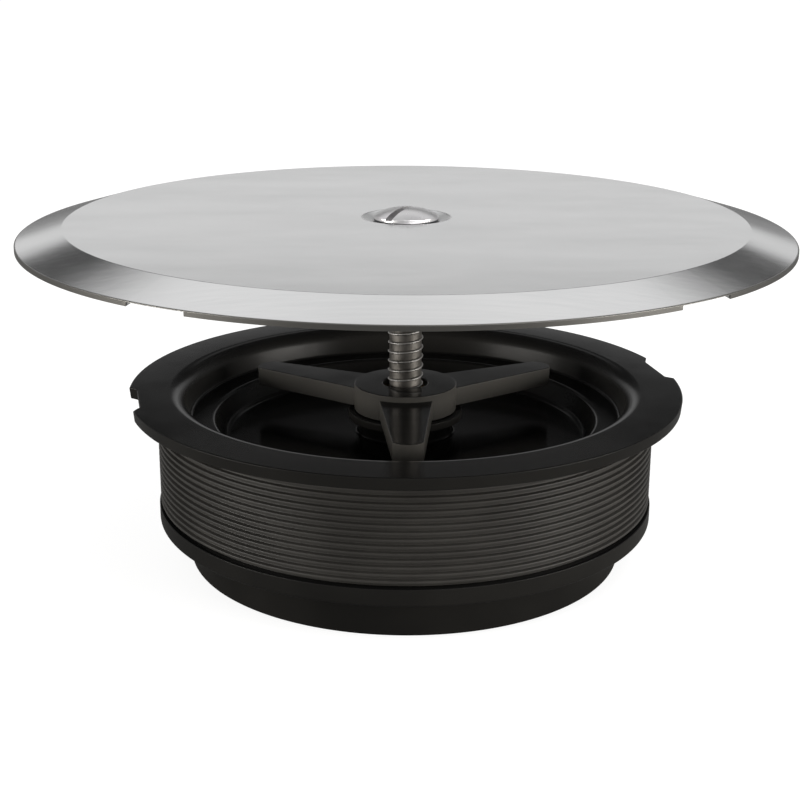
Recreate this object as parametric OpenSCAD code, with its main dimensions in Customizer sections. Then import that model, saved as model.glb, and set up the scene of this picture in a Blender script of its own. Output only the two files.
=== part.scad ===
// Expanding hole plug with a cover plate.
//
// A flanged top plate and a ringed bottom plate sit at the two ends of a ribbed
// rubber sleeve. A hollow stud is clamped in the bottom plate. A three-armed wing
// nut with a brass barrel turns on the stud and draws the two plates together, so
// the sleeve bulges and grips the wall of the hole. The cover's screw threads into
// the top of the same barrel, and its free end runs down inside the hollow stud.
//
// Millimetres. +Z is up. The origin is the centre of the foot of the bottom plate.
// Threads are drawn as plain cylinders at their outer diameters.

/* [Cover plate] */
// Overall diameter
cover_d = 152.4; // [125:0.1:220]
// Thickness of the formed sheet
cover_t = 0.9; // [0.7:0.05:1.2]
// Width of the sloping border, seen from above
bevel_w = 9; // [4:0.1:20]
// Drop of the sloping border
bevel_drop = 2.6; // [1:0.1:5]
// Radial width of the dished ring around the screw's head
dish_w = 2.5; // [1:0.1:6]
// Depth of that ring
dish_drop = 1; // [0.6:0.05:1.6]
// Number of pry notches in the rim
pry_n = 5; // [2:1:12]
// Width of a pry notch
pry_w = 12; // [5:0.5:25]
// Sheet left above a pry notch
pry_skin = 0.15; // [0.1:0.05:0.4]
// Turn of the pry notches about the axis
pry_turn = 22.25; // [0:0.25:72]

/* [Cover screw] */
// Outer diameter of the thread
screw_d = 7.2; // [5:0.1:8]
// Thread pitch
screw_pitch = 1.95; // [1:0.05:2.5]
// Length from the rim of the head to the tip
screw_len = 38; // [28:0.1:50]
// Radial overhang of the oval head past the thread
head_over = 2.8; // [1.9:0.1:4.5]
// Height of the head's dome
dome_h = 1.6; // [1:0.1:3]
// Height of the head's upright rim
head_rim = 1.05; // [0.6:0.05:1.3]
// Height of the top of that rim above the cover's flat top
head_proud = 0.3; // [0.1:0.05:0.5]
// Included angle of the head's cone
head_angle = 90; // [80:1:100]
// Width of the screwdriver slot
slot_w = 1.5; // [0.8:0.1:2.5]
// Depth of the slot below the top of the dome
slot_depth = 1.9; // [0.8:0.1:2.2]
// Turn of the slot about the axis
slot_turn = 57; // [0:1:180]
// Chamfer of the tip
tip_chamfer = 0.8; // [0.2:0.1:1.5]

/* [Wing nut] */
// Wall of the hub around the barrel
hub_wall = 2.5; // [2:0.1:5]
// Height of the hub
hub_h = 5.5; // [4.5:0.1:8]
// Height of the hub's top above the top plate's flange
hub_proud = 0.1; // [0:0.05:2]
// Radial clearance of the cover screw in the hub's top
mouth_gap = 1; // [0.6:0.1:2]
// Thickness of the hub above the barrel
hub_lid = 1.5; // [1:0.1:2.5]
// Width of an arm where it leaves the hub
arm_root_w = 10.6; // [6:0.1:14]
// Width of an arm at its tip
arm_tip_w = 5.9; // [3:0.1:9]
// Radius of the arm's rounded end
arm_end_r = 3.5; // [3:0.1:8]
// Height of an arm
arm_h = 3.9; // [2:0.1:4.2]
// Height of the hub's underside below the arm's underside
arm_lift = 0.4; // [0:0.1:1.5]
// Gap between the arm's tip and the inner edge of the top plate's ledge
arm_gap = 3.3; // [1:0.1:12]
// Turn of the first arm about the axis
arm_turn = -89; // [-180:1:180]

/* [Barrel nut] */
// Wall around the stud's thread
barrel_wall = 2; // [1.6:0.1:3]
// Length of the thread for the cover screw
cover_thread_len = 4.5; // [3:0.1:6]
// Depth of the grooves for the moulding and for the clip
groove_depth = 0.8; // [0.4:0.05:1]
// Radial width of the retaining clip
clip_w = 2.4; // [1.5:0.1:3]
// Thickness of the retaining clip
clip_t = 1; // [0.8:0.1:1.5]

/* [Top plate] */
// Radial overhang of the flange past the sleeve's ribs
flange_over = 5.65; // [2:0.05:15]
// Thickness of the flange
flange_t = 2.4; // [1.5:0.1:5]
// Draft of the flange's edge over its thickness
flange_draft = 0.25; // [0:0.05:0.5]
// Depth of the recess under the flange that seats the sleeve
seat_depth = 0.6; // [0.3:0.05:1]
// Wall of the cup at its mouth
cup_wall = 1.85; // [1.2:0.05:4]
// Radius of the mouth's rounded edge
mouth_round = 3.5; // [0.5:0.1:3.8]
// Depth of the ledge below the flange's top
ledge_depth = 6; // [4:0.1:8]
// Draft of the upper wall over its height
wall_draft = 1.15; // [0:0.05:2]
// Width of the ledge
ledge_w = 5; // [4:0.1:9]
// Depth of the floor below the ledge
floor_depth = 4.4; // [3:0.1:6]
// Draft of the lower wall over its height
tub_draft = 2.1; // [0:0.1:4]
// Thickness of the ledge and the floor
plate_t = 2.2; // [1.5:0.1:3]
// Depth of the two key notches in the flange
key_depth = 1.9; // [0.5:0.1:3]
// Width of a key notch at the flange's edge
key_w = 16.4; // [8:0.1:25]
// Turn of the first key notch about the axis; the second is opposite it
key_turn = 12.4; // [0:0.1:90]

/* [Thrust washer] */
// Radial overhang past the wing nut's hub
thrust_over = 1.2; // [0.5:0.1:3]
// Radial overhang past the top plate's boss
thrust_lip = 2.1; // [0:0.1:2.2]
// Thickness
thrust_t = 1.7; // [0.8:0.1:2]

/* [Sleeve] */
// Diameter over the ribs, which sets the hole size
sleeve_d = 101.5; // [84:0.1:125]
// Height between the flange and the bottom plate
sleeve_h = 20.85; // [17:0.05:30]
// Wall under the ribs
sleeve_wall = 2.6; // [1.5:0.1:4]
// Number of ribs
rib_n = 15; // [5:1:24]
// Height of a rib above the wall
rib_depth = 0.75; // [0.3:0.05:1.5]
// Thickness of a rib at its root
rib_root_t = 0.8; // [0.5:0.05:1]
// Thickness of a rib at its tip
rib_tip_t = 0.5; // [0.3:0.05:0.8]
// Height of the groove above the bottom plate
foot_groove_h = 0.8; // [0.4:0.1:1.5]
// Depth of that groove below the ribs
foot_groove_depth = 1.4; // [0.5:0.1:2]

/* [Bottom plate] */
// Radial overhang of the ring past the sleeve's ribs
ring_over = 0.3; // [0:0.05:1]
// Thickness of the ring
ring_t = 3.65; // [2.5:0.05:6]
// Radial step from the ring in to the skirt
skirt_step = 6; // [2:0.1:8]
// Height of the skirt
skirt_h = 8.5; // [7:0.1:15]
// Wall of the skirt and of the spigot
skirt_wall = 2.5; // [1.5:0.1:3.5]
// Draft of the skirt over its height
skirt_draft = 0.2; // [0:0.05:1]
// Thickness of the web
web_t = 2.5; // [1.5:0.1:4]
// Height of the web's top above the skirt
web_rise = 0.5; // [0.2:0.1:2]
// Wall of the hub around the flats of the stud's head
foot_hub_wall = 4; // [3:0.1:8]
// Number of stiffening ribs
brace_n = 4; // [3:1:8]
// Thickness of a stiffening rib
brace_t = 2.2; // [1.2:0.1:4]
// Height of a stiffening rib's underside above the hub's underside
brace_rise = 0.2; // [0.1:0.1:2]
// Turn of the stiffening ribs about the axis
brace_turn = 45; // [0:1:90]

/* [Hollow stud] */
// Radial clearance of the cover screw in the bore
bore_gap = 0.3; // [0.2:0.05:0.6]
// Wall from the bore to the outside of the thread
stud_wall = 2.1; // [1.5:0.1:3]
// Thread pitch
stud_pitch = 1.5; // [1:0.05:2]
// Radial step from the thread out to the flats of the head
stud_head_step = 2.5; // [1.2:0.1:3.5]
// Height of the head
stud_head_h = 3; // [2:0.1:4]
// Height of the head's underside above the foot
stud_inset = 1; // [0.3:0.1:2]
// Radial step from the thread out to the flats of the lock nut
lock_nut_step = 3.5; // [2:0.1:5]
// Height of the lock nut
lock_nut_h = 3.5; // [2.5:0.1:3.8]
// Radial overhang of the washer past the flats of the lock nut
lock_washer_over = 1.5; // [1:0.1:4]
// Thickness of that washer
lock_washer_t = 1; // [0.6:0.1:1.5]

/* [Travel and clearances] */
// How far the bottom plate can be drawn up
clamp_travel = 4; // [2:0.1:4]
// Length of screw that is in the barrel while the cover is raised
start_len = 1.7; // [1:0.1:3]
// Radial clearance of a thread or a running fit
run_gap = 0.05; // [0.02:0.01:0.1]
// Gap between a turning face and the face it bears on
face_gap = 0.1; // [0.05:0.01:0.3]
// Clearance of a moulded part around what it holds
fit_gap = 0.2; // [0.1:0.05:0.4]
// Clearance left at the end of the clamp's travel
stop_gap = 0.5; // [0.2:0.1:0.6]
// How far the cover is screwed down
cover_down = 0; // [0:0.1:31.7]
// How far the bottom plate is drawn up
clamp_up = 0; // [0:0.1:4]

/* [Hidden] */

$fn = 96;
cut = 1;
arc_steps = 4;
tip_steps = 8;

// Roundings, from the finest edge to the widest inner corner
rim_r = 0.15;
break_r = 0.2;
edge_r = 0.3;
soft_r = 0.5;
dish_bend_r = 0.6;
bevel_bend_r = 0.8;
fillet_r = 1;
floor_fillet_r = 1.5;

// Heights, from the foot up
ring_z = skirt_h;
sleeve_z = ring_z + ring_t;
flange_z = sleeve_z + sleeve_h;
flange_top_z = flange_z + flange_t;
hub_top_z = flange_top_z + hub_proud;
hub_z = hub_top_z - hub_h;
thrust_top_z = hub_z - face_gap;
boss_top_z = thrust_top_z - thrust_t;
sleeve_top_z = flange_z + seat_depth;
ledge_z = flange_top_z - ledge_depth;
floor_z = ledge_z - floor_depth;
under_ledge_z = ledge_z - plate_t;
under_floor_z = floor_z - plate_t;
barrel_top_z = hub_top_z - hub_lid;
cover_thread_z = barrel_top_z - cover_thread_len;
clip_top_z = under_floor_z - face_gap;
tip_z = barrel_top_z - start_len;
head_z = tip_z + screw_len;
cone_z = head_z - head_rim;
cover_top_z = head_z - head_proud;
rim_top_z = cover_top_z - bevel_drop;
dish_z = cover_top_z - dish_drop;
spigot_top_z = under_ledge_z - clamp_travel - stop_gap;
web_top_z = skirt_h + web_rise;
web_z = web_top_z - web_t;
stud_seat_z = stud_inset + stud_head_h;
lock_nut_z = web_top_z + lock_washer_t;
barrel_z = lock_nut_z + lock_nut_h + clamp_travel + stop_gap;
stud_top_z = cover_thread_z - fit_gap - clamp_travel;

// Radii, from the outside in
cover_r = cover_d / 2;
flat_r = cover_r - bevel_w;
sleeve_r = sleeve_d / 2;
flange_r = sleeve_r + flange_over;
ring_r = sleeve_r + ring_over;
skirt_r = ring_r - skirt_step;
root_r = sleeve_r - rib_depth;
sleeve_in_r = root_r - sleeve_wall;
cup_r = sleeve_in_r - fit_gap;
mouth_r = cup_r - cup_wall;
wall_foot_r = mouth_r - wall_draft;
tub_r = wall_foot_r - ledge_w;
tub_foot_r = tub_r - tub_draft;
arm_reach = tub_r - arm_gap;
screw_r = screw_d / 2;
head_r = screw_r + head_over;
bore_r = screw_r + bore_gap;
stud_r = bore_r + stud_wall;
barrel_r = stud_r + barrel_wall;
groove_r = barrel_r - groove_depth;
hub_r = barrel_r + hub_wall;
hub_mouth_r = screw_r + mouth_gap;
thrust_r = hub_r + thrust_over;
boss_r = thrust_r - thrust_lip;
stud_head_af = 2 * (stud_r + stud_head_step);
lock_nut_af = 2 * (stud_r + lock_nut_step);
lock_washer_r = lock_nut_af / 2 + lock_washer_over;
foot_hub_r = stud_head_af / 2 + foot_hub_wall;
head_slope = tan(head_angle / 2);
seat_r = head_r - (cone_z - dish_z) * head_slope + face_gap;
dish_r = seat_r + dish_w;

// Turn of each threaded piece for the travel that is set
screw_angle = -360 * cover_down / screw_pitch;
wing_angle = -360 * clamp_up / stud_pitch;

function unit(v) = v / norm(v);

// Points that round the corner at p, between its neighbours a and b
function corner(a, p, b, r) =
    r <= 0 ? [p] :
    let (to_a = unit(a - p),
         to_b = unit(b - p),
         half = acos(to_a * to_b) / 2,
         centre = p + unit(to_a + to_b) * r / sin(half),
         start = p + to_a * r / tan(half) - centre,
         end = p + to_b * r / tan(half) - centre,
         start_angle = atan2(start[1], start[0]),
         turn = atan2(start[0] * end[1] - start[1] * end[0], start * end))
    [for (i = [0:arc_steps])
        let (a = start_angle + turn * i / arc_steps)
        centre + r * [cos(a), sin(a)]];

// An outline from [x, y, corner radius] points
function rounded(points) =
    let (n = len(points), at = [for (p = points) [p[0], p[1]]])
    [for (i = [0:n - 1]) each corner(at[(i + n - 1) % n], at[i], at[(i + 1) % n], points[i][2])];

module lathe(outline) {
    rotate_extrude() polygon(outline);
}

module ring(outer_r, inner_r, z, height) {
    translate([0, 0, z]) difference() {
        cylinder(r = outer_r, h = height);
        translate([0, 0, -cut]) cylinder(r = inner_r, h = height + 2 * cut);
    }
}

module hexagon(across_flats, z, height) {
    translate([0, 0, z]) cylinder(d = across_flats / cos(30), h = height, $fn = 6);
}

// The formed sheet, with the seat for the screw's head and the pry notches
module cover_plate() {
    skin_z = rim_top_z - pry_skin;
    color("silver") translate([0, 0, -cover_down]) difference() {
        lathe(rounded([
            [cover_r, rim_top_z - cover_t, 0],
            [cover_r, rim_top_z, rim_r],
            [flat_r, cover_top_z, bevel_bend_r],
            [dish_r, cover_top_z, dish_bend_r],
            [seat_r, dish_z, 0],
            [seat_r - cover_t * head_slope, dish_z - cover_t, 0],
            [dish_r, cover_top_z - cover_t, dish_bend_r],
            [flat_r, cover_top_z - cover_t, bevel_bend_r]
        ]));
        for (i = [0:pry_n - 1])
            rotate(pry_turn + 360 * i / pry_n)
                translate([cover_r - bevel_w / 2, -pry_w / 2, rim_top_z - cover_t - cut])
                    cube([bevel_w, pry_w, skin_z - rim_top_z + cover_t + cut]);
    }
}

// The slotted oval-head screw that carries the cover
module cover_screw() {
    dome_r = (head_r * head_r + dome_h * dome_h) / (2 * dome_h);
    dome_z = head_z + dome_h - dome_r;
    shank_z = cone_z - (head_r - screw_r) / head_slope;
    color("lightgray") translate([0, 0, -cover_down]) rotate(screw_angle) difference() {
        union() {
            intersection() {
                translate([0, 0, dome_z]) sphere(r = dome_r);
                translate([0, 0, cone_z]) cylinder(r = head_r, h = head_rim + dome_h + cut);
            }
            lathe([
                [0, tip_z], [screw_r - tip_chamfer, tip_z], [screw_r, tip_z + tip_chamfer],
                [screw_r, shank_z], [head_r, cone_z], [0, cone_z]
            ]);
        }
        rotate(slot_turn) translate([-head_r - cut, -slot_w / 2, head_z + dome_h - slot_depth])
            cube([2 * head_r + 2 * cut, slot_w, slot_depth + cut]);
    }
}

module wing_arm() {
    end_z = hub_z + arm_lift;
    half_chord = arm_tip_w / 2;
    end_x = arm_reach - arm_end_r + sqrt(arm_end_r * arm_end_r - half_chord * half_chord);
    end_angle = asin(half_chord / arm_end_r);
    end_arc = [for (i = [0:tip_steps])
        let (a = end_angle * (2 * i / tip_steps - 1))
        [arm_reach - arm_end_r + arm_end_r * cos(a), arm_end_r * sin(a)]];
    root_half_w = arm_root_w / 2;
    root_x = sqrt(hub_r * hub_r - root_half_w * root_half_w);
    spread = (root_half_w - half_chord) / (end_x - root_x) * root_x;
    translate([0, 0, end_z]) linear_extrude(arm_h)
        polygon(concat([[0, root_half_w + spread], [0, -root_half_w - spread]], end_arc));
}

// The moulded wing nut, with its three arms
module wing_nut() {
    color("dimgray") rotate(wing_angle) difference() {
        union() {
            lathe(rounded([
                [0, hub_z, 0], [hub_r, hub_z, edge_r], [hub_r, hub_top_z, edge_r], [0, hub_top_z, 0]
            ]));
            for (i = [0:2]) rotate(arm_turn + 120 * i) wing_arm();
        }
        barrel_blank();
        translate([0, 0, barrel_top_z]) cylinder(r = hub_mouth_r, h = hub_lid + cut);
    }
}

// The barrel's outer shape, which the wing nut is moulded around
module barrel_blank() {
    key_z = (hub_z + barrel_top_z) / 2;
    difference() {
        translate([0, 0, barrel_z]) cylinder(r = barrel_r, h = barrel_top_z - barrel_z);
        ring(barrel_r + cut, groove_r, key_z - clip_t / 2, clip_t);
    }
}

// The brass barrel, threaded for the cover screw above and the stud below
module barrel_nut() {
    color("goldenrod") rotate(wing_angle) difference() {
        barrel_blank();
        ring(barrel_r + cut, groove_r, clip_top_z - clip_t - run_gap, clip_t + 2 * run_gap);
        translate([0, 0, cover_thread_z - cut])
            cylinder(r = screw_r + run_gap, h = cover_thread_len + 2 * cut);
        translate([0, 0, barrel_z - cut])
            cylinder(r = stud_r + run_gap, h = cover_thread_z - barrel_z + cut);
    }
}

// The retaining clip under the top plate's floor, with an opening as wide as the groove's radius
module barrel_clip() {
    clip_z = clip_top_z - clip_t;
    opening_w = groove_r;
    color("gray") rotate(wing_angle) difference() {
        ring(groove_r + run_gap + clip_w, groove_r + run_gap, clip_z, clip_t);
        translate([0, -opening_w / 2, clip_z - cut]) cube([barrel_r + clip_w, opening_w, clip_t + 2 * cut]);
    }
}

// The washer that the wing nut turns on
module thrust_washer() {
    color("black") ring(thrust_r, barrel_r + fit_gap, boss_top_z, thrust_t);
}

module key_notch(angle) {
    half_w = key_w / 2;
    rotate(angle) translate([flange_r, 0, flange_z - cut]) linear_extrude(flange_t + 2 * cut)
        polygon([
            [cut, half_w + cut], [-key_depth, half_w - key_depth],
            [-key_depth, key_depth - half_w], [cut, -half_w - cut]
        ]);
}

// The flanged cup that rests on the surface around the hole
module top_plate() {
    barrel_hole_r = barrel_r + face_gap;
    recess_r = sleeve_r + fit_gap;
    color("dimgray") difference() {
        lathe(rounded([
            [barrel_hole_r, boss_top_z, 0],
            [boss_r, boss_top_z, edge_r],
            [boss_r, floor_z, soft_r],
            [tub_foot_r, floor_z, floor_fillet_r],
            [tub_r, ledge_z, fillet_r],
            [wall_foot_r, ledge_z, soft_r],
            [mouth_r, flange_top_z, mouth_round],
            [flange_r, flange_top_z, break_r],
            [flange_r - flange_draft, flange_z, break_r],
            [recess_r, flange_z, 0],
            [recess_r, sleeve_top_z, 0],
            [cup_r, sleeve_top_z, 0],
            [cup_r, under_ledge_z, fillet_r],
            [tub_r + plate_t, under_ledge_z, 0],
            [tub_foot_r + plate_t, under_floor_z, fillet_r],
            [barrel_hole_r, under_floor_z, 0]
        ]));
        key_notch(key_turn);
        key_notch(key_turn + 180);
    }
}

// The ribbed rubber sleeve, squeezed by the clamp
module grip_sleeve() {
    foot_z = sleeve_z + clamp_up;
    rib_pitch = (sleeve_h - clamp_up - foot_groove_h) / rib_n;
    taper = (rib_root_t - rib_tip_t) / 2;
    ribs = [for (i = [0:rib_n - 1])
        let (z = foot_z + foot_groove_h + i * rib_pitch)
        each [
            [root_r, z], [sleeve_r, z + taper], [sleeve_r, z + rib_root_t - taper], [root_r, z + rib_root_t]
        ]];
    color("darkslategray") lathe(concat(
        [[sleeve_in_r, sleeve_top_z], [sleeve_in_r, foot_z], [sleeve_r - foot_groove_depth, foot_z],
         [sleeve_r - foot_groove_depth, foot_z + foot_groove_h]],
        ribs,
        [[root_r, sleeve_top_z]]
    ));
}

// The plate that is drawn up against the foot of the sleeve
module bottom_plate() {
    stud_hole_r = stud_r + face_gap;
    skirt_in_r = skirt_r - skirt_wall;
    spigot_in_r = cup_r - skirt_wall;
    brace_z = stud_inset + brace_rise;
    color("dimgray") translate([0, 0, clamp_up]) difference() {
        union() {
            lathe(rounded([
                [stud_hole_r, stud_inset, 0],
                [foot_hub_r, stud_inset, soft_r],
                [foot_hub_r, web_z, soft_r],
                [skirt_in_r, web_z, fillet_r],
                [skirt_in_r, 0, edge_r],
                [skirt_r - skirt_draft, 0, edge_r],
                [skirt_r, skirt_h, 0],
                [ring_r, skirt_h, soft_r],
                [ring_r, sleeve_z, break_r],
                [cup_r, sleeve_z, 0],
                [cup_r, spigot_top_z, soft_r],
                [spigot_in_r, spigot_top_z, soft_r],
                [spigot_in_r, web_top_z, fillet_r],
                [stud_hole_r, web_top_z, 0]
            ]));
            for (i = [0:brace_n - 1])
                rotate(brace_turn + 360 * i / brace_n)
                    translate([foot_hub_r - cut, -brace_t / 2, brace_z])
                        cube([skirt_in_r - foot_hub_r + 2 * cut, brace_t, web_z + web_t / 2 - brace_z]);
        }
        hexagon(stud_head_af + 2 * fit_gap, stud_inset - cut, stud_head_h + cut);
    }
}

// The stud, hollow so that the cover screw can pass down it
module hollow_stud() {
    color("lightsteelblue") translate([0, 0, clamp_up]) difference() {
        union() {
            hexagon(stud_head_af, stud_inset, stud_head_h);
            translate([0, 0, stud_seat_z - cut]) cylinder(r = stud_r, h = stud_top_z - stud_seat_z + cut);
        }
        translate([0, 0, stud_inset - cut]) cylinder(r = bore_r, h = stud_top_z - stud_inset + 2 * cut);
    }
}

module stud_washer() {
    color("silver") translate([0, 0, clamp_up])
        ring(lock_washer_r, stud_r + fit_gap, web_top_z, lock_washer_t);
}

module stud_lock_nut() {
    color("lightsteelblue") translate([0, 0, clamp_up]) difference() {
        hexagon(lock_nut_af, lock_nut_z, lock_nut_h);
        translate([0, 0, lock_nut_z - cut]) cylinder(r = stud_r + run_gap, h = lock_nut_h + 2 * cut);
    }
}

cover_plate();
cover_screw();
wing_nut();
barrel_nut();
barrel_clip();
thrust_washer();
top_plate();
grip_sleeve();
bottom_plate();
hollow_stud();
stud_washer();
stud_lock_nut();
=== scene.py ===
"""The looks of the expanding hole plug with its cover plate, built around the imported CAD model."""

import math

import bmesh
import bpy
from mathutils import Matrix, Vector


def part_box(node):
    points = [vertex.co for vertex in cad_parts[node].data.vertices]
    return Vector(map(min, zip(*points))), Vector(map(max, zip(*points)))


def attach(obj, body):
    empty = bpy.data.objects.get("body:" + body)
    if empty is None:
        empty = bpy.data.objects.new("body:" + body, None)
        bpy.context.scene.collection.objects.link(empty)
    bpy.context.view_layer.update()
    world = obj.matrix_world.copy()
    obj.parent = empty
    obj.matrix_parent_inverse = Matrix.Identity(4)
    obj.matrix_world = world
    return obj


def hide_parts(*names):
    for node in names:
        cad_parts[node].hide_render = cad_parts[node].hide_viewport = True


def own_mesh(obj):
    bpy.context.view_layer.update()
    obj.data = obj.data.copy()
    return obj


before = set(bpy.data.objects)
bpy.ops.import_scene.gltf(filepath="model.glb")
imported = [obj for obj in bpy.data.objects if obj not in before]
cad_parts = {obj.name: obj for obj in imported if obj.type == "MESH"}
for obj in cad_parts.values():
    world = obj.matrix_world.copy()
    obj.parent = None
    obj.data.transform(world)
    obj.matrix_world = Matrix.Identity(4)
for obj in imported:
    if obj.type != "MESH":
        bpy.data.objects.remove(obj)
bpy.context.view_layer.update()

MM = 0.001
SHARP = math.radians(32)
CURVE_STEPS = 6
AROUND = 240


# ---------------------------------------------------------------- camera and studio

def make_camera():
    """The viewing angle: from the front, a little above, through a long lens."""
    pitch, yaw, roll = (math.radians(a) for a in (17.49, -0.21, 0.27))
    data = bpy.data.cameras.new("camera")
    data.sensor_width = 36
    data.lens = 67.23
    data.clip_start = 0.01
    data.clip_end = 50
    cam = bpy.data.objects.new("camera", data)
    turn = Matrix.Rotation(-yaw, 4, "Z") @ Matrix.Rotation(math.pi / 2 - pitch, 4, "X")
    cam.matrix_world = Matrix.Translation((0, -0.2951, 0.12461)) @ turn @ Matrix.Rotation(roll, 4, "Z")
    bpy.context.scene.collection.objects.link(cam)
    bpy.context.scene.camera = cam


class Nodes:
    """A short way to write node trees: each call adds a node and links what it is given."""

    def __init__(self, tree):
        self.tree = tree

    def add(self, kind, inputs=None, **settings):
        node = self.tree.nodes.new(kind)
        for key, value in settings.items():
            setattr(node, key, value)
        for key, value in (inputs or {}).items():
            self.feed(node.inputs[key], value)
        return node

    def feed(self, socket, value):
        if isinstance(value, bpy.types.NodeSocket):
            self.tree.links.new(value, socket)
        elif isinstance(value, bpy.types.Node):
            self.tree.links.new(value.outputs[0], socket)
        else:
            socket.default_value = value

    def math(self, operation, *values, clamp=False):
        node = self.add("ShaderNodeMath", operation=operation, use_clamp=clamp)
        for socket, value in zip(node.inputs, values):
            self.feed(socket, value)
        return node.outputs[0]

    def ramp(self, value, stops, mode="EASE"):
        node = self.add("ShaderNodeValToRGB", {"Fac": value})
        node.color_ramp.interpolation = mode
        elements = node.color_ramp.elements
        while len(elements) < len(stops):
            elements.new(0.5)
        for element, (place, colour) in zip(elements, stops):
            element.position = place
            element.color = (*colour, 1) if isinstance(colour, tuple) else (colour, colour, colour, 1)
        return node.outputs["Color"]

    def span(self, value, low, high, to_low=0.0, to_high=1.0):
        node = self.add("ShaderNodeMapRange", {"Value": value, "From Min": low, "From Max": high,
                                               "To Min": to_low, "To Max": to_high})
        return node.outputs["Result"]

    def mix(self, share, a, b, blend="MIX"):
        """Colours a and b mixed. A Mix node's sockets 0, 6 and 7 are the share and the two colours."""
        node = self.add("ShaderNodeMix", data_type="RGBA", blend_type=blend)
        self.feed(node.inputs[0], share)
        self.feed(node.inputs[6], (*a, 1) if isinstance(a, tuple) else a)
        self.feed(node.inputs[7], (*b, 1) if isinstance(b, tuple) else b)
        return node.outputs[2]


def make_world():
    """A plain grey studio: a pale strip low down behind the object, a dark gap over it and a soft ceiling."""
    ground, strip, gap, side, ceiling, top = 0.25, 0.80, 0.08, 0.40, 0.95, 0.60
    world = bpy.data.worlds.new("studio")
    bpy.context.scene.world = world
    world.use_nodes = True
    tree = world.node_tree
    tree.nodes.clear()
    n = Nodes(tree)
    direction = n.add("ShaderNodeTexCoord").outputs["Generated"]
    xyz = n.add("ShaderNodeSeparateXYZ", {"Vector": direction}).outputs
    off_centre = n.math("ABSOLUTE", n.math("ARCTAN2", xyz["X"], xyz["Y"]))
    rise = n.math("ARCSINE", xyz["Z"])

    def rising(low, high):
        return n.span(rise, math.radians(low), math.radians(high))

    def turning(low, high):
        return n.span(off_centre, math.radians(low), math.radians(high))

    def grey(level):
        return (level, level, level)

    behind = n.mix(rising(5, 8), grey(ground), grey(strip))
    behind = n.mix(rising(14, 16), behind, grey(gap))
    front = n.mix(rising(4, 9), grey(side * 0.3), grey(side * 0.85))
    around = n.mix(turning(95, 135), grey(side), front)
    level = n.mix(turning(25, 40), behind, around)
    sky = n.mix(rising(25, 35), level, grey(ceiling))
    whole = n.mix(rising(45, 55), sky, grey(top))
    path = n.add("ShaderNodeLightPath").outputs["Is Camera Ray"]
    seen = n.mix(path, whole, grey(1.0))
    background = n.add("ShaderNodeBackground", {"Color": seen, "Strength": 1.0})
    n.add("ShaderNodeOutputWorld", {"Surface": background})


def make_light(name, place, target, size, power, colour):
    data = bpy.data.lights.new(name, "AREA")
    data.shape = "RECTANGLE"
    data.size, data.size_y = size
    data.energy = power
    data.color = colour
    light = bpy.data.objects.new(name, data)
    light.location = place
    light.rotation_euler = (Vector(target) - Vector(place)).to_track_quat("-Z", "Y").to_euler()
    bpy.context.scene.collection.objects.link(light)


def make_lights():
    """Two broad soft lights low at the front corners and a smaller one high on the right."""
    reach, turn = 1.2, math.radians(68)
    for name, side, power in (("left_light", -1, 13.5), ("right_light", 1, 16)):
        place = (side * reach * math.sin(turn), -reach * math.cos(turn), 0.19)
        make_light(name, place, (0, 0, 0.035), (0.8, 0.20), power, (1.0, 0.97, 0.92))
    make_light("high_light", (0.26, -0.37, 0.80), (0, 0, 0.07), (0.32, 0.32), 2.4, (1.0, 0.99, 0.97))


def make_floor():
    """A plain pale floor, which can be looked through from below. An opening hidden under the foot lets
    light in from below, so that the underside isn't black when it is looked at."""
    count, reaches, clearance = 48, (0.0425, 6.0), 0.0002
    mesh = bpy.data.meshes.new("floor")
    ring = [(math.cos(2 * math.pi * i / count), math.sin(2 * math.pi * i / count)) for i in range(count)]
    faces = [(i, count + i, count + (i + 1) % count, (i + 1) % count) for i in range(count)]
    mesh.from_pydata([(r * x, r * y, 0) for r in reaches for x, y in ring], [], faces)
    floor = bpy.data.objects.new("floor", mesh)
    floor.location.z = -clearance
    bpy.context.scene.collection.objects.link(floor)
    look = bpy.data.materials.new("floor")
    look.use_nodes = True
    look.node_tree.nodes.clear()
    n = Nodes(look.node_tree)
    matt = n.add("ShaderNodeBsdfDiffuse", {"Color": (0.26, 0.26, 0.26, 1)})
    glow = n.add("ShaderNodeEmission", {"Color": (1, 1, 1, 1), "Strength": 0.86})
    seen = n.add("ShaderNodeAddShader", {0: matt.outputs[0], 1: glow.outputs[0]})
    path = n.add("ShaderNodeLightPath").outputs["Is Camera Ray"]
    lit = n.add("ShaderNodeMixShader", {0: path, 1: matt.outputs[0], 2: seen.outputs[0]})
    below = n.add("ShaderNodeNewGeometry").outputs["Backfacing"]
    clear = n.add("ShaderNodeBsdfTransparent")
    both = n.add("ShaderNodeMixShader", {0: below, 1: lit.outputs[0], 2: clear.outputs[0]})
    n.add("ShaderNodeOutputMaterial", {"Surface": both.outputs[0]})
    mesh.materials.append(look)


# ---------------------------------------------------------------- materials

def material(name, build):
    """A material whose look is made by build, given its nodes and its shader."""
    made = bpy.data.materials.new(name)
    made.use_nodes = True
    tree = made.node_tree
    tree.nodes.clear()
    n = Nodes(tree)
    shader = n.add("ShaderNodeBsdfPrincipled")
    n.add("ShaderNodeOutputMaterial", {"Surface": shader.outputs[0]})
    place = n.add("ShaderNodeTexCoord").outputs["Object"]
    build(n, shader, place)
    return made


def grain(n, place, scale, stretch=(1, 1, 1), detail=4, rough=0.6):
    """Noise of about 1/scale metres, drawn out along an axis where stretch is small."""
    mapped = n.add("ShaderNodeMapping", {"Vector": place, "Scale": stretch})
    noise = n.add("ShaderNodeTexNoise", {"Vector": mapped.outputs[0], "Scale": scale, "Detail": detail,
                                         "Roughness": rough})
    return noise.outputs["Fac"]


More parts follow.
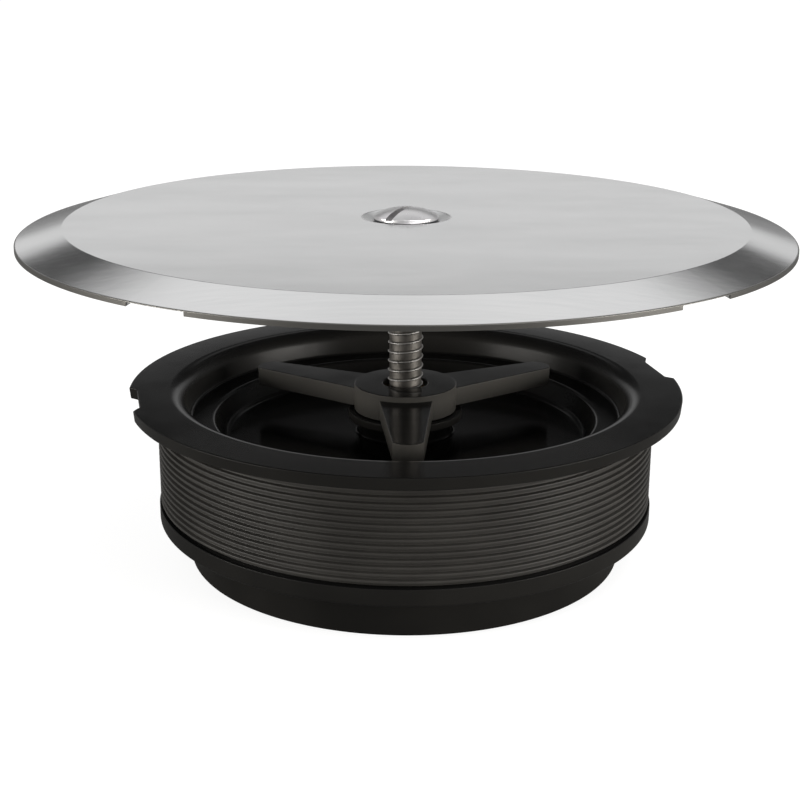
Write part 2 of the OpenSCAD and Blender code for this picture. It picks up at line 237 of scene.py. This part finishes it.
def bump(n, shader, height, depth, strength=1.0):
    node = n.add("ShaderNodeBump", {"Height": height, "Distance": depth, "Strength": strength})
    n.feed(shader.inputs["Normal"], node.outputs[0])


def radius(n, place):
    """The distance from the axis, in metres."""
    flat = n.add("ShaderNodeVectorMath", {0: place, 1: (1, 1, 0)}, operation="MULTIPLY").outputs[0]
    return n.add("ShaderNodeVectorMath", {0: flat}, operation="LENGTH").outputs["Value"]


def level_share(n):
    """1 on level faces and 0 on upright ones."""
    normal = n.add("ShaderNodeNewGeometry").outputs["Normal"]
    upward = n.add("ShaderNodeSeparateXYZ", {"Vector": normal}).outputs["Z"]
    return n.span(n.math("ABSOLUTE", upward), 0.35, 0.9)


def brushed_stainless(n, shader, place):
    """Fine straight brushing and a matt pressed dish. A band round the rim's edge is painted dark as painted
    shade, and is made a little rougher.
    """
    dish_from, dish_to = 0.0083, 0.0092
    rim_shade_from, rim_shade_to = 0.07585, 0.07605
    streaks = grain(n, place, 900, (0.02, 1, 1), 5, 0.7)
    cloud = grain(n, place, 22, (1, 1, 1), 3)
    smudge = grain(n, place, 70, (0.4, 1, 1), 4)
    tone = n.math("ADD", n.math("MULTIPLY", streaks, 0.6), n.math("MULTIPLY", cloud, 0.4))
    sheet = n.ramp(tone, [(0.3, (0.665, 0.668, 0.672)), (0.7, (0.735, 0.735, 0.735))])
    reach = radius(n, place)
    # painted shade: the band round the rim's edge gets a dark metal colour that stands in for shade
    rim_painted_shade_band = n.span(reach, rim_shade_from, rim_shade_to)
    n.feed(shader.inputs["Base Color"], n.mix(rim_painted_shade_band, sheet, (0.13, 0.127, 0.12)))
    shader.inputs["Metallic"].default_value = 1.0
    spread = n.math("ADD", n.math("MULTIPLY", streaks, 0.5), n.math("MULTIPLY", smudge, 0.5))
    matt = n.math("ADD", n.span(reach, dish_from, dish_to, 0.22, 0.0), n.math("MULTIPLY", rim_painted_shade_band, 0.25))
    n.feed(shader.inputs["Roughness"], n.math("ADD", n.span(spread, 0.3, 0.7, 0.11, 0.18), matt))
    bump(n, shader, streaks, 0.000004, 0.5)


def polished_stainless(n, shader, place):
    """Bright on the head and rougher on the thread. The thread's dark colour is painted shade with painted
    glints along its crests, and the near-black band under the head's edge is a painted shadow.
    """
    neck_from, neck_to = 0.0655, 0.0668
    head_from, head_to = 0.06962, 0.06978
    crest_glint_from, crest_glint_to = 0.00342, 0.00356
    hair = grain(n, place, 1500, (1, 1, 0.15), 4)
    cloud = grain(n, place, 160, (1, 1, 1), 3)
    grime = grain(n, place, 420, (1, 1, 1), 4)
    bright = n.ramp(cloud, [(0.3, (0.66, 0.65, 0.66)), (0.7, (0.74, 0.735, 0.735))])
    # painted shade: the thread is given a dark tone that stands in for the shade under the cover
    thread_painted_light = n.ramp(grime, [(0.3, (0.085, 0.080, 0.073)), (0.7, (0.14, 0.132, 0.122))])
    # painted highlight: the thread's crests are painted pale, as glints
    thread_painted_light = n.mix(n.span(radius(n, place), crest_glint_from, crest_glint_to), thread_painted_light, (0.42, 0.41, 0.40))
    height = n.add("ShaderNodeSeparateXYZ", {"Vector": place}).outputs["Z"]
    # painted shadow: from the neck up to the head's rim the colour is near black, standing for the shade
    # under the head's edge
    under = n.mix(n.span(height, neck_from, neck_to), thread_painted_light, (0.035, 0.035, 0.038))
    n.feed(shader.inputs["Base Color"], n.mix(n.span(height, head_from, head_to), under, bright))
    shader.inputs["Metallic"].default_value = 1.0
    worn = n.span(grime, 0.3, 0.7, 0.42, 0.55)
    clean = n.span(hair, 0.3, 0.7, 0.26, 0.36)
    share = n.span(height, neck_from, neck_to)
    n.feed(shader.inputs["Roughness"], n.math("ADD", n.math("MULTIPLY", clean, share),
                                              n.math("MULTIPLY", worn, n.math("SUBTRACT", 1.0, share))))
    bump(n, shader, hair, 0.000002, 0.4)


def plastic(n, shader, place, dark, pale, upright):
    """A moulded black plastic. Level faces are smoother than the upright ones, which are painted lighter by
    the factor upright, as painted light on the sides.
    """
    pores = grain(n, place, 2600, (1, 1, 1), 3)
    ripple = grain(n, place, 120, (1, 1, 1), 4)
    cloud = grain(n, place, 26, (1, 1, 1), 3)
    level = level_share(n)
    deep = n.ramp(cloud, [(0.3, dark), (0.7, pale)])
    # painted light: upright faces get their colour multiplied by upright, standing for the light falling on
    # the sides; level faces keep the plain dark tone
    n.feed(shader.inputs["Base Color"], n.mix(level, n.mix(1.0, deep, upright, "MULTIPLY"), deep))
    texture = n.math("ADD", n.math("MULTIPLY", ripple, 0.6), n.math("MULTIPLY", pores, 0.4))
    smooth = n.span(texture, 0.3, 0.7, 0.10, 0.17)
    matt = n.span(texture, 0.3, 0.7, 0.27, 0.38)
    n.feed(shader.inputs["Roughness"], n.math("ADD", n.math("MULTIPLY", smooth, level), n.math(
        "MULTIPLY", matt, n.math("SUBTRACT", 1.0, level))))
    shader.inputs["IOR"].default_value = 1.49
    shader.inputs["Specular IOR Level"].default_value = 0.06
    height = n.math("ADD", n.math("MULTIPLY", pores, 0.25), n.math("MULTIPLY", ripple, 1.0))
    bump(n, shader, height, 0.00003, 0.4)


def black_plastic(n, shader, place):
    # painted light: the last tuple makes the upright faces about twice as light as the level ones
    plastic(n, shader, place, (0.0045, 0.0045, 0.0045), (0.0070, 0.0069, 0.0067), (2.0, 1.95, 1.85))


def washer_plastic(n, shader, place):
    # painted light: the last tuple makes the upright faces about 2.5 times as light as the level ones
    plastic(n, shader, place, (0.0060, 0.0060, 0.0058), (0.0085, 0.0083, 0.0080), (2.6, 2.5, 2.4))


def grey_black_plastic(n, shader, place):
    # painted light: the last tuple lifts the upright faces to six times the dark tone, standing for the light
    # falling on the sides; the base tones are those of washer_plastic
    plastic(n, shader, place, (0.0060, 0.0060, 0.0058), (0.0085, 0.0083, 0.0080), (6.0, 5.8, 5.5))


def black_rubber(n, shader, place):
    """A matt rubber with a faint bloom."""
    pores = grain(n, place, 3200, (1, 1, 1), 4)
    bloom = grain(n, place, 60, (1, 1, 2), 4)
    n.feed(shader.inputs["Base Color"], n.ramp(bloom, [(0.3, (0.0235, 0.0222, 0.0203)),
                                                      (0.72, (0.0335, 0.0317, 0.0288))]))
    n.feed(shader.inputs["Roughness"], n.span(bloom, 0.3, 0.7, 0.40, 0.50))
    shader.inputs["IOR"].default_value = 1.5
    shader.inputs["Specular IOR Level"].default_value = 0.26
    bump(n, shader, pores, 0.00002, 0.4)


def brass(n, shader, place):
    """Turned brass, with fine rings round its axis."""
    turned = grain(n, place, 1200, (0.2, 0.2, 1), 4)
    cloud = grain(n, place, 120, (1, 1, 1), 3)
    n.feed(shader.inputs["Base Color"], n.ramp(cloud, [(0.3, (0.62, 0.42, 0.15)), (0.7, (0.76, 0.56, 0.25))]))
    shader.inputs["Metallic"].default_value = 1.0
    n.feed(shader.inputs["Roughness"], n.span(turned, 0.3, 0.7, 0.2, 0.34))
    bump(n, shader, turned, 0.000004, 0.5)


def zinc_steel(n, shader, place):
    """Zinc-plated steel with a faint spangle."""
    flakes = n.add("ShaderNodeTexVoronoi", {"Vector": place, "Scale": 900.0}).outputs["Distance"]
    cloud = grain(n, place, 180, (1, 1, 1), 4)
    n.feed(shader.inputs["Base Color"], n.ramp(cloud, [(0.3, (0.50, 0.53, 0.58)), (0.7, (0.64, 0.66, 0.70))]))
    shader.inputs["Metallic"].default_value = 1.0
    n.feed(shader.inputs["Roughness"], n.span(cloud, 0.3, 0.7, 0.24, 0.38))
    bump(n, shader, flakes, 0.000004, 0.35)


def spring_steel(n, shader, place):
    """Dark, slightly gritty spring steel."""
    cloud = grain(n, place, 260, (1, 1, 1), 4)
    grit = grain(n, place, 2400, (1, 1, 1), 3)
    n.feed(shader.inputs["Base Color"], n.ramp(cloud, [(0.3, (0.13, 0.13, 0.14)), (0.7, (0.24, 0.24, 0.25))]))
    shader.inputs["Metallic"].default_value = 1.0
    n.feed(shader.inputs["Roughness"], n.span(grit, 0.3, 0.7, 0.38, 0.5))
    bump(n, shader, grit, 0.000005, 0.5)


# ---------------------------------------------------------------- mesh tools

def corner(before, at, after, r, steps):
    """Points that round the corner at a point, between its two neighbours."""
    if r <= 0:
        return [tuple(at)]
    at, before, after = Vector(at), Vector(before), Vector(after)
    to_a, to_b = (before - at).normalized(), (after - at).normalized()
    half = math.acos(max(-1, min(1, to_a.dot(to_b)))) / 2
    centre = at + (to_a + to_b).normalized() * (r / math.sin(half))
    start = at + to_a * (r / math.tan(half)) - centre
    end = at + to_b * (r / math.tan(half)) - centre
    first = math.atan2(start.y, start.x)
    turn = math.atan2(start.x * end.y - start.y * end.x, start.dot(end))
    return [(centre.x + r * math.cos(a), centre.y + r * math.sin(a))
            for a in (first + turn * i / steps for i in range(steps + 1))]


def rounded(points, steps=CURVE_STEPS):
    """An outline from (x, y, corner radius) points."""
    made = []
    for i, (x, y, r) in enumerate(points):
        before, after = points[i - 1], points[(i + 1) % len(points)]
        made += corner(before[:2], (x, y), after[:2], r, steps)
    return made


def apart(a, b):
    """The angle between two directions, in radians."""
    return abs((a - b + math.pi) % (2 * math.pi) - math.pi)


def angles(count=AROUND, extra=()):
    """Angles round the axis in radians, with some exact ones added in place of their neighbours."""
    step = 2 * math.pi / count
    exact = sorted(a % (2 * math.pi) for a in extra)
    plain = [i * step for i in range(count)]
    keep = [a for a in plain if all(apart(a, b) > step * 0.3 for b in exact)]
    return sorted(keep + exact)


def from_lists(name, verts, faces):
    """A mesh object from points in millimetres, with doubled points joined and its faces turned outwards."""
    mesh = bpy.data.meshes.new(name)
    mesh.from_pydata([(x * MM, y * MM, z * MM) for x, y, z in verts], [], faces)
    tidy(mesh)
    made = bpy.data.objects.new(name, mesh)
    bpy.context.scene.collection.objects.link(made)
    return made


def tidy(mesh, join=1e-7):
    bm = bmesh.new()
    bm.from_mesh(mesh)
    bmesh.ops.remove_doubles(bm, verts=bm.verts, dist=join)
    bmesh.ops.dissolve_degenerate(bm, edges=bm.edges, dist=join)
    bmesh.ops.recalc_face_normals(bm, faces=bm.faces)
    bm.to_mesh(mesh)
    bm.free()


def revolve(name, outline, around=None):
    """A closed outline of (radius, height) turned round the axis. A function may give the outline at each
    angle instead."""
    around = around or angles()
    verts, faces = [], []
    for a in around:
        points = outline(a) if callable(outline) else outline
        verts += [(r * math.cos(a), r * math.sin(a), z) for r, z in points]
    count, rows = len(points), len(around)
    for i in range(rows):
        j = (i + 1) % rows
        for k in range(count):
            m = (k + 1) % count
            if points[k][0] < 1e-6 and points[m][0] < 1e-6:
                continue
            faces.append((i * count + k, j * count + k, j * count + m, i * count + m))
    return from_lists(name, verts, faces)


def sweep(name, sections):
    """Closed sections of points, joined one to the next and capped at both ends."""
    count = len(sections[0])
    verts = [p for s in sections for p in s]
    faces = []
    for i in range(len(sections) - 1):
        for k in range(count):
            m = (k + 1) % count
            faces.append((i * count + k, (i + 1) * count + k, (i + 1) * count + m, i * count + m))
    faces.append(tuple(range(count)))
    faces.append(tuple(range(len(verts) - count, len(verts))))
    return from_lists(name, verts, faces)


def prism(name, outline, low, high):
    return sweep(name, [[(x, y, z) for x, y in outline] for z in (low, high)])


def thread(name, root, crest, pitch, low, high, phase, base=0.42, tip=0.07, sink=0.12, steps=72, run_out=0.3):
    """A right-handed ridge that winds up round the axis, from low to high. phase is a height that its middle
    passes through at the -X side. base and tip are half its widths at root and crest, in pitches."""
    turns = (high - low) / pitch
    sections = []
    total = max(8, int(turns * steps))
    for i in range(total + 1):
        z = low + (high - low) * i / total
        a = math.pi + 2 * math.pi * (z - phase) / pitch
        grown = min(1, min(i, total - i) / (steps * run_out))
        top = root + (crest - root) * grown
        inner = root - sink if crest > root else root + sink
        section = [(inner, -base), (root, -base), (top, -tip), (top, tip), (root, base), (inner, base)]
        sections.append([(r * math.cos(a), r * math.sin(a), z + h * pitch) for r, h in section])
    return sweep(name, sections)


def apply_modifiers(obj):
    graph = bpy.context.evaluated_depsgraph_get()
    mesh = bpy.data.meshes.new_from_object(obj.evaluated_get(graph))
    obj.modifiers.clear()
    obj.data = mesh


def boolean(obj, other, operation):
    """Joins to obj, or cuts from it, another closed mesh, which is used up."""
    step = obj.modifiers.new("solid", "BOOLEAN")
    step.operation = operation
    step.solver = "EXACT"
    step.object = other
    apply_modifiers(obj)
    bpy.data.objects.remove(other)
    tidy(obj.data)
    return obj


def soften(obj, width, segments=3, limit=40):
    """Rounds the edges that are sharper than limit degrees."""
    step = obj.modifiers.new("soft", "BEVEL")
    step.width = width * MM
    step.segments = segments
    step.limit_method = "ANGLE"
    step.angle_limit = math.radians(limit)
    step.use_clamp_overlap = True
    apply_modifiers(obj)
    tidy(obj.data)
    return obj


def join(obj, *others):
    """Puts the meshes of others into obj as closed shells of their own."""
    bm = bmesh.new()
    bm.from_mesh(obj.data)
    for other in others:
        bm.from_mesh(other.data)
        bpy.data.objects.remove(other)
    bm.to_mesh(obj.data)
    bm.free()
    return obj


def finished(obj, look, body, node):
    """Gives a piece its shading, its material and its place in the frame."""
    mesh = obj.data
    bm = bmesh.new()
    bm.from_mesh(mesh)
    for face in bm.faces:
        face.smooth = True
    for edge in bm.edges:
        edge.smooth = len(edge.link_faces) == 2 and edge.calc_face_angle(0) < SHARP
    bm.to_mesh(mesh)
    bm.free()
    mesh.materials.clear()
    mesh.materials.append(look)
    normals = obj.modifiers.new("normals", "WEIGHTED_NORMAL")
    normals.keep_sharp = True
    normals.weight = 50
    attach(obj, body)
    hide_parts(node)
    return obj


# ---------------------------------------------------------------- sizes, in millimetres

def top_of(node):
    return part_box(node)[1].z / MM


def foot_of(node):
    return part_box(node)[0].z / MM


def reach_of(node):
    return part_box(node)[1].x / MM


cover_r = reach_of("cover_plate")
cover_t = 0.9
cover_top = top_of("cover_plate")
rim_top = foot_of("cover_plate") + cover_t
flat_r = cover_r - 9.0
dish_r, seat_r, dish_z = 8.75, 6.25, cover_top - 1.0
head_z, head_r, dome_h, shank_r = cover_top + 0.3, 6.4, 1.6, 3.6
screw_tip = foot_of("cover_screw")
hub_top = top_of("wing_nut")
hub_foot = foot_of("wing_nut")
hub_r, hub_mouth_r, hub_lid = 10.5, 4.6, 1.5
barrel_r, barrel_foot = 8.0, foot_of("barrel_nut")
flange_top = top_of("top_plate")
flange_t = 2.4
flange_foot = flange_top - flange_t
flange_r = 56.4
sleeve_top = top_of("grip_sleeve")
sleeve_foot = foot_of("grip_sleeve")
sleeve_r = 50.75
ring_r = reach_of("bottom_plate")
skirt_h = 8.5
skirt_r = ring_r - 6.0
cup_r = 47.2


# ---------------------------------------------------------------- pieces

def cover_plate():
    """The formed sheet: flat top, sloping border, dished ring round the screw and notches under the rim."""
    count, width, first, skin = 5, 12.0, 22.25, 0.15
    slope = (cover_top - rim_top) / (cover_r - flat_r)
    inset = (cover_t - skin) / slope
    half = math.asin(width / 2 / cover_r)
    centres = [math.radians(first + 360 / count * i) for i in range(count)]
    gap = 1e-4
    marks = [c + side * (half + nudge) for c in centres for side in (-1, 1) for nudge in (0, gap)]

    def outline(a):
        notched = any(apart(a, c) < half + gap / 2 for c in centres)
        low = rim_top - skin if notched else rim_top - cover_t
        under = cover_r - inset
        points = [(cover_r, low, 0), (cover_r, rim_top, 0.12), (flat_r, cover_top, 0.8),
                  (dish_r, cover_top, 0.7), (seat_r, dish_z, 0.1), (seat_r - cover_t, dish_z - cover_t, 0.1),
                  (dish_r, cover_top - cover_t, 0.6), (flat_r, cover_top - cover_t, 0.8),
                  (under, rim_top - skin, 0)]
        return rounded(points)

    made = revolve("cover_sheet", outline, angles(360, marks))
    return finished(made, looks["brushed_stainless"], "cover", "cover_plate")


def cover_screw():
    """The slotted oval-head screw, with its rolled thread."""
    rim, slope, pitch = 1.05, 1.0, 1.95
    cone_z = head_z - rim
    dome_r = (head_r ** 2 + dome_h ** 2) / (2 * dome_h)
    dome_z = head_z + dome_h - dome_r
    open_angle = math.asin(head_r / dome_r)
    steps = 28
    dome = [(dome_r * math.sin(open_angle * i / steps), dome_z + dome_r * math.cos(open_angle * i / steps))
            for i in range(steps + 1)]
    core_r = 3.28
    neck_z = cone_z - (head_r - core_r) / slope
    chamfer = 0.8
    shoulder = corner(dome[-2], (head_r, head_z), (head_r, cone_z), 0.32, 5)
    outline = dome[:-1] + shoulder + [(head_r, cone_z), (core_r, neck_z), (core_r, screw_tip + chamfer * 0.5),
                                      (core_r - chamfer * 0.5, screw_tip), (0, screw_tip)]
    head = revolve("cover_screw_head", outline, angles(180))
    half, floor = 0.75, head_z + dome_h - 1.9
    slot = prism("slot", [(-8, -half), (8, -half), (8, half), (-8, half)], floor, head_z + dome_h + 2)
    slot.data.transform(Matrix.Rotation(math.radians(57), 4, "Z"))
    boolean(head, slot, "DIFFERENCE")
    soften(head, 0.08, 3, 35)
    winding = thread("winding", core_r, shank_r, pitch, screw_tip + 0.75, neck_z - 0.3, 44.18, 0.17, 0.035)
    join(head, winding)
    return finished(head, looks["polished_stainless"], "screw", "cover_screw")


def wing_nut():
    """The moulded hub with its three tapered arms."""
    arm_low, arm_high = hub_foot + 0.4, hub_foot + 4.3
    root, tip, reach, end_r = 10.6, 5.9, 35.9, 3.5
    lid = hub_top - hub_lid
    hub = revolve("wing_nut_body", rounded([
        (barrel_r, hub_foot, 0), (hub_r, hub_foot, 0.25), (hub_r, hub_top, 0.22),
        (hub_mouth_r, hub_top, 0.25), (hub_mouth_r, lid, 0), (barrel_r, lid, 0)], 4), angles(180))
    half_tip = tip / 2
    end_x = reach - end_r + math.sqrt(end_r ** 2 - half_tip ** 2)
    swing = math.asin(half_tip / end_r)
    arc = [(reach - end_r + end_r * math.cos(a), end_r * math.sin(a))
           for a in (swing * i / 8 for i in range(-8, 9))]
    root_x = math.sqrt(hub_r ** 2 - (root / 2) ** 2)
    start = 8.75
    wide = root / 2 + (root / 2 - half_tip) / (end_x - root_x) * (root_x - start)
    for turn in (-89, 31, 151):
        arm = prism("arm", [(start, wide), (start, -wide)] + arc, arm_low, arm_high)
        soften(arm, 0.18, 3, 50)
        arm.data.transform(Matrix.Rotation(math.radians(turn), 4, "Z"))
        boolean(hub, arm, "UNION")
    return finished(hub, looks["grey_black_plastic"], "wing", "wing_nut")


def thrust_washer():
    """The flat disc that the hub turns on."""
    low, high = foot_of("thrust_washer"), top_of("thrust_washer")
    inner, outer = barrel_r + 0.2, 11.7
    made = revolve("thrust_disc", rounded([
        (inner, low, 0.1), (outer, low, 0.2), (outer, high, 0.3), (inner, high, 0.1)], 4), angles(180))
    return finished(made, looks["washer_plastic"], "plug", "thrust_washer")


def key_limits(a, centre, width, depth):
    """How far the flange reaches at angle a beside a key notch with sloping sides."""
    off = apart(a, centre)
    if off > 0.5:
        return flange_r
    bottom = (flange_r - depth) / math.cos(off)
    spread = math.cos(off) - math.sin(off)
    flank = (flange_r - width / 2) / spread
    return min(flange_r, max(bottom, flank))


def top_plate():
    """The flanged cup, with two key notches in its flange."""
    depth = 1.9
    notches = [(math.radians(12.4), 16.4), (math.radians(192.4), 16.4)]
    marks = []
    for centre, width in notches:
        outer = math.asin((width / 2) / flange_r)
        inner = math.atan((width / 2 - depth) / (flange_r - depth))
        marks += [centre + s * v for s in (-1, 1) for v in (outer, inner)]
        marks += [centre + inner * i / 4 for i in range(-3, 4)]
    ledge, floor = flange_top - 6.0, flange_top - 10.4
    plate = 2.2
    mouth, wall_foot, tub, tub_foot, boss = 45.35, 44.2, 39.2, 37.1, 9.6
    hole = barrel_r + 0.1
    boss_top = foot_of("thrust_washer")
    base = rounded([
        (hole, boss_top, 0), (boss, boss_top, 0.3), (boss, floor, 0.8), (tub_foot, floor, 1.5),
        (tub, ledge, 1.0), (wall_foot, ledge, 0.8), (mouth, flange_top, 3.5), (flange_r, flange_top, 0.25),
        (flange_r - 0.25, flange_foot, 0.25), (sleeve_r + 0.2, flange_foot, 0),
        (sleeve_r + 0.2, sleeve_top, 0), (cup_r, sleeve_top, 0), (cup_r, ledge - plate, 1),
        (tub + plate, ledge - plate, 0.8),
        (tub_foot + plate, floor - plate, 1), (hole, floor - plate, 0)])

    def outline(a):
        limit = min(key_limits(a, c, w, depth) for c, w in notches)
        shift = flange_r - limit
        return [(r - shift if r > flange_r - 1 else r, z) for r, z in base]

    made = revolve("flanged_cup", outline, angles(AROUND, marks))
    return finished(made, looks["black_plastic"], "plug", "top_plate")


def grip_sleeve():
    """The rubber sleeve with its thin ribs."""
    count, depth, groove_h, groove_r = 15, 0.75, 0.8, sleeve_r - 1.4
    root_t, tip_t = 0.8, 0.5
    root_r = sleeve_r - depth
    inner_r = root_r - 2.6
    step = (flange_foot - sleeve_foot - groove_h) / count
    taper = (root_t - tip_t) / 2
    points = [(inner_r, sleeve_top, 0), (inner_r, sleeve_foot, 0), (groove_r, sleeve_foot, 0),
              (groove_r, sleeve_foot + groove_h, 0.15)]
    for i in range(count):
        z = sleeve_foot + groove_h + i * step
        points += [(root_r, z, 0.1), (sleeve_r, z + taper, 0.13), (sleeve_r, z + root_t - taper, 0.13),
                   (root_r, z + root_t, 0.1)]
    points.append((root_r, sleeve_top, 0))
    made = revolve("ribbed_sleeve", rounded(points, 3))
    finished(made, looks["black_rubber"], "plug", "grip_sleeve")
    apply_modifiers(made)
    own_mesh(made)
    return made


def hexagon(name, across_flats, low, high):
    r = across_flats / 2 / math.cos(math.pi / 6)
    outline = [(r * math.cos(a), r * math.sin(a)) for a in (math.pi / 3 * i for i in range(6))]
    return prism(name, outline, low, high)


def bottom_plate():
    """The ring, skirt and spigot, with the hub and the ribs that stiffen it."""
    wall, web_top, web_t, inset = 2.5, skirt_h + 0.5, 2.5, 1.0
    web = web_top - web_t
    skirt_in, spigot_in = skirt_r - wall, cup_r - wall
    hub, hole = 12.5, 6.1
    spigot_top = top_of("bottom_plate")
    made = revolve("clamp_plate", rounded([
        (hole, inset, 0), (hub, inset, 0.5), (hub, web, 0.6), (skirt_in, web, 1), (skirt_in, 0, 0.3),
        (skirt_r - 0.2, 0, 0.35), (skirt_r, skirt_h, 0.25), (ring_r, skirt_h, 0.7),
        (ring_r, sleeve_foot, 0.2), (cup_r, sleeve_foot, 0), (cup_r, spigot_top, 0.5),
        (spigot_in, spigot_top, 0.5), (spigot_in, web_top, 1), (hole, web_top, 0)]))
    for i in range(4):
        a = math.radians(45 + 90 * i)
        brace = prism("brace", [(hub - 1, -1.1), (skirt_in + 1, -1.1), (skirt_in + 1, 1.1), (hub - 1, 1.1)],
                      inset + 0.2, web + 1)
        soften(brace, 0.2, 2, 50)
        brace.data.transform(Matrix.Rotation(a, 4, "Z"))
        boolean(made, brace, "UNION")
    boolean(made, hexagon("socket", 17.4, inset - 2, inset + 3.0), "DIFFERENCE")
    return finished(made, looks["black_plastic"], "clamp", "bottom_plate")


def hollow_stud():
    """The threaded tube with its hexagonal head."""
    low, high = foot_of("hollow_stud"), top_of("hollow_stud")
    bore, outer, pitch, head_h = 3.9, 6.0, 1.5, 3.0
    root = outer - 0.75
    head = hexagon("stud", 17.0, low, low + head_h)
    dome = revolve("dome", [(0, low - 0.5), (7.6, low - 0.5), (10.2, low + 1.0), (10.2, low + 5),
                            (0, low + 5)], angles(120))
    boolean(head, dome, "INTERSECT")
    tube = revolve("tube", [(0, low + 1), (root, low + 1), (root, high - 0.4), (root - 0.4, high), (0, high)],
                   angles(120))
    boolean(head, tube, "UNION")
    bore_cut = revolve("bore", [(0, low - 1), (bore + 1.4, low - 1), (bore, low + 0.4), (bore, high - 0.3),
                                (bore + 0.6, high + 0.3), (0, high + 0.3)], angles(120))
    boolean(head, bore_cut, "DIFFERENCE")
    soften(head, 0.08, 2, 50)
    join(head, thread("stud_thread", root, outer, pitch, low + head_h + 0.9, high - 0.75, low, 0.44, 0.08))
    return finished(head, looks["zinc_steel"], "clamp", "hollow_stud")


def lock_nut():
    """The hexagonal nut, chamfered at both ends, that clamps the stud in the bottom plate."""
    low, high = foot_of("stud_lock_nut"), top_of("stud_lock_nut")
    nut = hexagon("lock_nut", 19.0, low, high)
    cone = revolve("cone", [(0, low - 0.6), (8.4, low - 0.6), (11.4, low + 1.1), (11.4, high - 1.1),
                            (8.4, high + 0.6), (0, high + 0.6)], angles(120))
    boolean(nut, cone, "INTERSECT")
    bore = revolve("nut_bore", [(0, low - 1), (7.35, low - 1), (6.05, low + 0.3), (6.05, high - 0.3),
                                (7.35, high + 1), (0, high + 1)], angles(120))
    boolean(nut, bore, "DIFFERENCE")
    soften(nut, 0.08, 2, 50)
    return finished(nut, looks["zinc_steel"], "clamp", "stud_lock_nut")


def stud_washer():
    """The flat washer under the lock nut."""
    low, high = foot_of("stud_washer"), top_of("stud_washer")
    made = revolve("flat_washer", rounded([
        (6.2, low, 0.1), (11.0, low, 0.15), (11.0, high, 0.3), (6.2, high, 0.1)], 4), angles(180))
    return finished(made, looks["zinc_steel"], "clamp", "stud_washer")


def barrel_nut():
    """The turned brass barrel, bored in two steps, with two grooves round it."""
    low, high = foot_of("barrel_nut"), top_of("barrel_nut")
    stud_bore, screw_bore, step_z = 6.05, 3.65, high - 4.5
    groove = barrel_r - 0.8
    key = (hub_foot + high) / 2
    clip = foot_of("barrel_clip")
    points = [(stud_bore, low, 0.3), (barrel_r, low, 0.25)]
    for z0, z1 in ((clip - 0.05, clip + 1.05), (key - 0.5, key + 0.5)):
        points += [(barrel_r, z0, 0.06), (groove, z0, 0.1), (groove, z1, 0.1), (barrel_r, z1, 0.06)]
    points += [(barrel_r, high, 0.15), (screw_bore, high, 0.3), (screw_bore, step_z, 0),
               (stud_bore, step_z, 0)]
    made = revolve("brass_barrel", rounded(points, 3), angles(180))
    return finished(made, looks["brass"], "wing", "barrel_nut")


def barrel_clip():
    """The snap ring that holds the barrel in the top plate, open at one side."""
    low, high = foot_of("barrel_clip"), top_of("barrel_clip")
    inner, outer = 7.25, 9.65
    gap = math.asin(3.6 / 8.4)
    section = rounded([(inner, low, 0.15), (outer, low, 0.2), (outer, high, 0.2), (inner, high, 0.15)], 3)
    steps = 120
    sections = []
    for i in range(steps + 1):
        a = gap + (2 * math.pi - 2 * gap) * i / steps
        sections.append([(r * math.cos(a), r * math.sin(a), z) for r, z in section])
    made = sweep("snap_ring", sections)
    return finished(made, looks["spring_steel"], "wing", "barrel_clip")


looks = {build.__name__: material(build.__name__, build)
         for build in (brushed_stainless, polished_stainless, black_plastic, washer_plastic,
                       grey_black_plastic, black_rubber, brass, zinc_steel, spring_steel)}

make_camera()
make_world()
make_floor()
make_lights()
bpy.context.scene.view_settings.view_transform = "Standard"

for build in (cover_plate, cover_screw, wing_nut, thrust_washer, top_plate, grip_sleeve, bottom_plate,
              hollow_stud, lock_nut, stud_washer, barrel_nut, barrel_clip):
    build()
